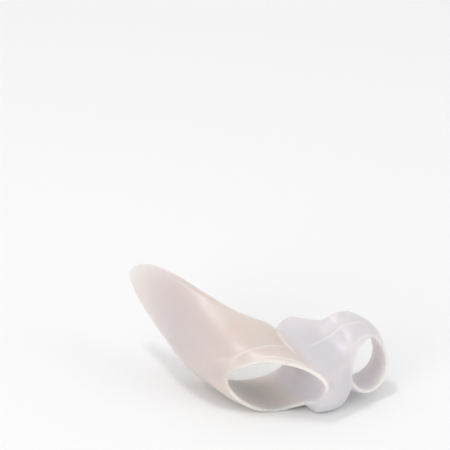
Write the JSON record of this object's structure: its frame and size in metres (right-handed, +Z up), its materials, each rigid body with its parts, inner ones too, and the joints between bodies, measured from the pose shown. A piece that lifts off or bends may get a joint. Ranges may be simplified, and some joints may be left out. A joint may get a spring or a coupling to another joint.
{
  "type": "bunion corrector",
  "caption": "Soft translucent gel bunion corrector with a side shield, a big toe loop, a toe separator and a second toe loop.",
  "frame": {"origin": "on the resting surface, below the middle of the whole moulding", "axes": "-Y is the way the toes point, -X is the side with the shield, +Z is up"},
  "size_m": [0.0616, 0.0832, 0.0343],
  "materials": {
    "gel": "milky translucent silicone gel with a soft satin surface"
  },
  "bodies": {
    "root": {"gel_guard": "gel"}
  },
  "joints": []
}
